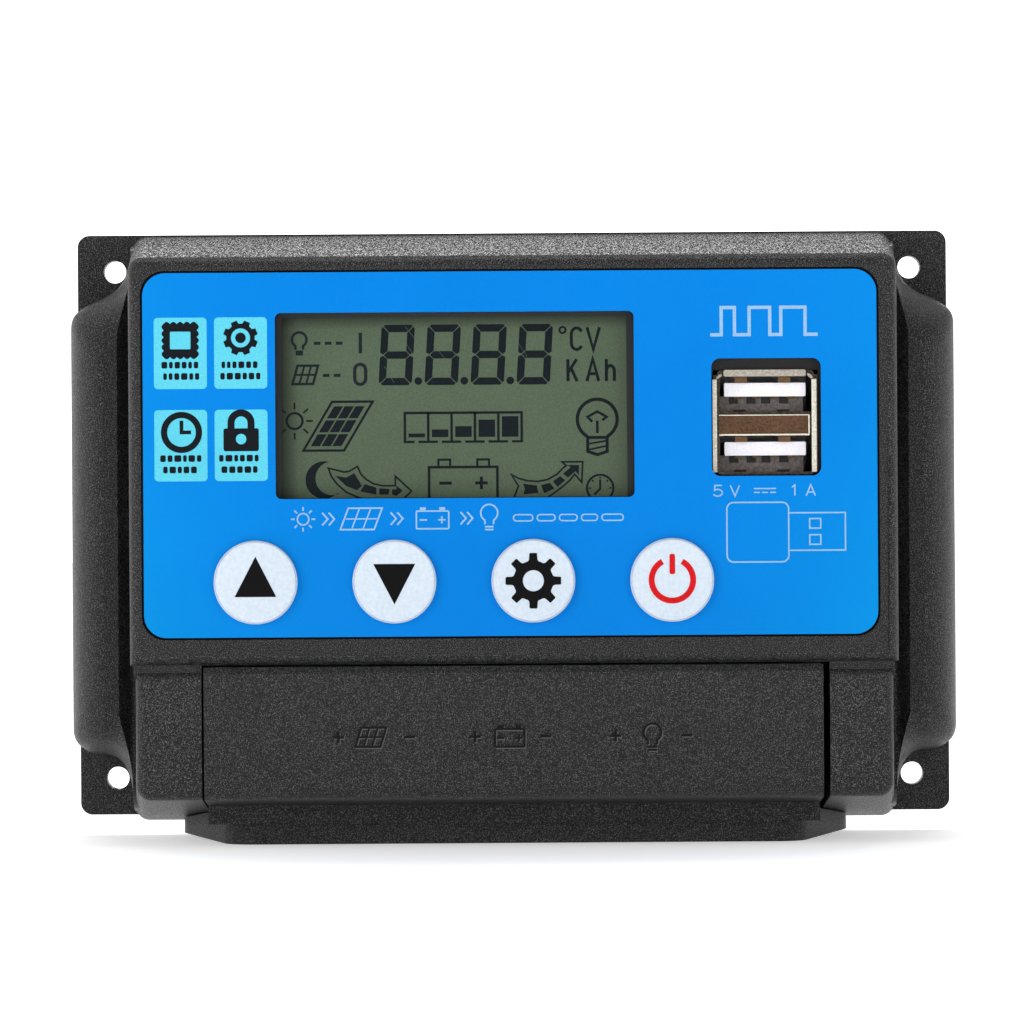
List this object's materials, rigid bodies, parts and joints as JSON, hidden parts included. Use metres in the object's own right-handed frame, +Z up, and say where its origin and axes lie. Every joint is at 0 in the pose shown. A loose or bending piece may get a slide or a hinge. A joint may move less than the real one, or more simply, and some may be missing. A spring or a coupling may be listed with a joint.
{
  "type": "solar charge controller",
  "caption": "Wall-mounted solar charge controller: LCD face with round keys, stacked USB outlet, screw terminals under a snap-off cover, corner mounting holes.",
  "frame": {"origin": "centre of the four wall holes, on the back face of the wall plate", "axes": "+X to the right seen from the front, +Z up, +Y into the wall; the face looks along -Y"},
  "size_m": [0.1238, 0.0349, 0.0854],
  "materials": {
    "case_plastic": "fine spark-eroded texture, satin",
    "cover_plastic": "fine spark-eroded texture, satin",
    "label_print": "printed polycarbonate overlay, satin gloss",
    "lcd_glass": "grey-green reflective display, satin polariser",
    "frame_plastic": "moulded, satin",
    "backlight_plastic": "frosted light guide",
    "zebra_rubber": "silicone",
    "board_laminate": "solder mask, satin",
    "key_plastic": "moulded, satin",
    "switch_plastic": "moulded, matte",
    "usb_metal": "stamped, nickel plated",
    "usb_plastic": "moulded, satin",
    "contact_metal": "plated, satin",
    "terminal_plastic": "moulded, satin",
    "terminal_metal": "zinc plated",
    "bar_metal": "tin plated",
    "epoxy_black": "moulded epoxy, matte",
    "lead_metal": "tin plated",
    "spreader_metal": "milled, satin",
    "pad_rubber": "soft gap filler",
    "capacitor_sleeve": "shrink sleeve, satin gloss",
    "ferrite": "sintered, matte",
    "shunt_metal": "bare alloy strip",
    "fastener_metal": "zinc plated"
  },
  "bodies": {
    "case": {"rear_shell": "case_plastic", "front_shell": "case_plastic", "face_label": "label_print", "main_board": "board_laminate", "display_board": "board_laminate", "board_header": "frame_plastic", "lcd_frame": "frame_plastic", "lcd_glass": "lcd_glass", "lcd_backlight": "backlight_plastic", "zebra_strip": "zebra_rubber", "power_transistors": "epoxy_black", "transistor_tabs": "lead_metal", "transistor_leads": "lead_metal", "heat_spreader": "spreader_metal", "thermal_pad": "pad_rubber", "input_capacitor": "capacitor_sleeve", "output_capacitor": "capacitor_sleeve", "power_inductor": "ferrite", "current_shunt": "shunt_metal", "regulator_chip": "epoxy_black", "controller_chip": "epoxy_black", "usb_shell": "usb_metal", "usb_divider": "usb_metal", "usb_insulator": "usb_plastic", "usb_contacts": "contact_metal", "terminal_block_solar": "terminal_plastic", "terminal_block_battery": "terminal_plastic", "terminal_block_load": "terminal_plastic", "current_bars": "bar_metal", "case_screws": "fastener_metal", "main_board_screws": "fastener_metal", "display_board_screws": "fastener_metal", "key_switch_up": "switch_plastic", "key_switch_down": "switch_plastic", "key_switch_settings": "switch_plastic", "key_switch_power": "switch_plastic"},
    "cover": {"terminal_cover": "cover_plastic"},
    "up_key": {"key_up": "key_plastic", "switch_plunger_up": "switch_plastic"},
    "down_key": {"key_down": "key_plastic", "switch_plunger_down": "switch_plastic"},
    "settings_key": {"key_settings": "key_plastic", "switch_plunger_settings": "switch_plastic"},
    "power_key": {"key_power": "key_plastic", "switch_plunger_power": "switch_plastic"},
    "screw_1": {"terminal_screw_1": "terminal_metal"},
    "cage_1": {"clamp_cage_1": "terminal_metal"},
    "screw_2": {"terminal_screw_2": "terminal_metal"},
    "cage_2": {"clamp_cage_2": "terminal_metal"},
    "screw_3": {"terminal_screw_3": "terminal_metal"},
    "cage_3": {"clamp_cage_3": "terminal_metal"},
    "screw_4": {"terminal_screw_4": "terminal_metal"},
    "cage_4": {"clamp_cage_4": "terminal_metal"},
    "screw_5": {"terminal_screw_5": "terminal_metal"},
    "cage_5": {"clamp_cage_5": "terminal_metal"},
    "screw_6": {"terminal_screw_6": "terminal_metal"},
    "cage_6": {"clamp_cage_6": "terminal_metal"}
  },
  "joints": [
    {"name": "cover_pull_off", "type": "slide", "parent": "case", "child": "cover", "axis": [0, -1, 0], "range_m": [0, 0.015]},
    {"name": "up_key_press", "type": "slide", "parent": "case", "child": "up_key", "axis": [0, 1, 0], "range_m": [0, 0.0005], "stiffness_N_per_m": 1600},
    {"name": "down_key_press", "type": "slide", "parent": "case", "child": "down_key", "axis": [0, 1, 0], "range_m": [0, 0.0005], "stiffness_N_per_m": 1600},
    {"name": "settings_key_press", "type": "slide", "parent": "case", "child": "settings_key", "axis": [0, 1, 0], "range_m": [0, 0.0005], "stiffness_N_per_m": 1600},
    {"name": "power_key_press", "type": "slide", "parent": "case", "child": "power_key", "axis": [0, 1, 0], "range_m": [0, 0.0005], "stiffness_N_per_m": 1600},
    {"name": "screw_1_turn", "type": "hinge", "parent": "case", "child": "screw_1", "pos_m": [-0.02375, -0.025, -0.03125], "axis": [0, 1, 0], "range_deg": [0, 1980]},
    {"name": "cage_1_rise", "type": "slide", "parent": "case", "child": "cage_1", "axis": [0, -1, 0], "range_m": [0, 0.00275]},
    {"name": "screw_2_turn", "type": "hinge", "parent": "case", "child": "screw_2", "pos_m": [-0.01425, -0.025, -0.03125], "axis": [0, 1, 0], "range_deg": [0, 1980]},
    {"name": "cage_2_rise", "type": "slide", "parent": "case", "child": "cage_2", "axis": [0, -1, 0], "range_m": [0, 0.00275]},
    {"name": "screw_3_turn", "type": "hinge", "parent": "case", "child": "screw_3", "pos_m": [-0.00475, -0.025, -0.03125], "axis": [0, 1, 0], "range_deg": [0, 1980]},
    {"name": "cage_3_rise", "type": "slide", "parent": "case", "child": "cage_3", "axis": [0, -1, 0], "range_m": [0, 0.00275]},
    {"name": "screw_4_turn", "type": "hinge", "parent": "case", "child": "screw_4", "pos_m": [0.00475, -0.025, -0.03125], "axis": [0, 1, 0], "range_deg": [0, 1980]},
    {"name": "cage_4_rise", "type": "slide", "parent": "case", "child": "cage_4", "axis": [0, -1, 0], "range_m": [0, 0.00275]},
    {"name": "screw_5_turn", "type": "hinge", "parent": "case", "child": "screw_5", "pos_m": [0.01425, -0.025, -0.03125], "axis": [0, 1, 0], "range_deg": [0, 1980]},
    {"name": "cage_5_rise", "type": "slide", "parent": "case", "child": "cage_5", "axis": [0, -1, 0], "range_m": [0, 0.00275]},
    {"name": "screw_6_turn", "type": "hinge", "parent": "case", "child": "screw_6", "pos_m": [0.02375, -0.025, -0.03125], "axis": [0, 1, 0], "range_deg": [0, 1980]},
    {"name": "cage_6_rise", "type": "slide", "parent": "case", "child": "cage_6", "axis": [0, -1, 0], "range_m": [0, 0.00275]}
  ],
  "couplings": [
    {"joint": "screw_1_turn", "follows": "cage_1_rise", "rad_per_m": 12566},
    {"joint": "screw_2_turn", "follows": "cage_2_rise", "rad_per_m": 12566},
    {"joint": "screw_3_turn", "follows": "cage_3_rise", "rad_per_m": 12566},
    {"joint": "screw_4_turn", "follows": "cage_4_rise", "rad_per_m": 12566},
    {"joint": "screw_5_turn", "follows": "cage_5_rise", "rad_per_m": 12566},
    {"joint": "screw_6_turn", "follows": "cage_6_rise", "rad_per_m": 12566}
  ]
}
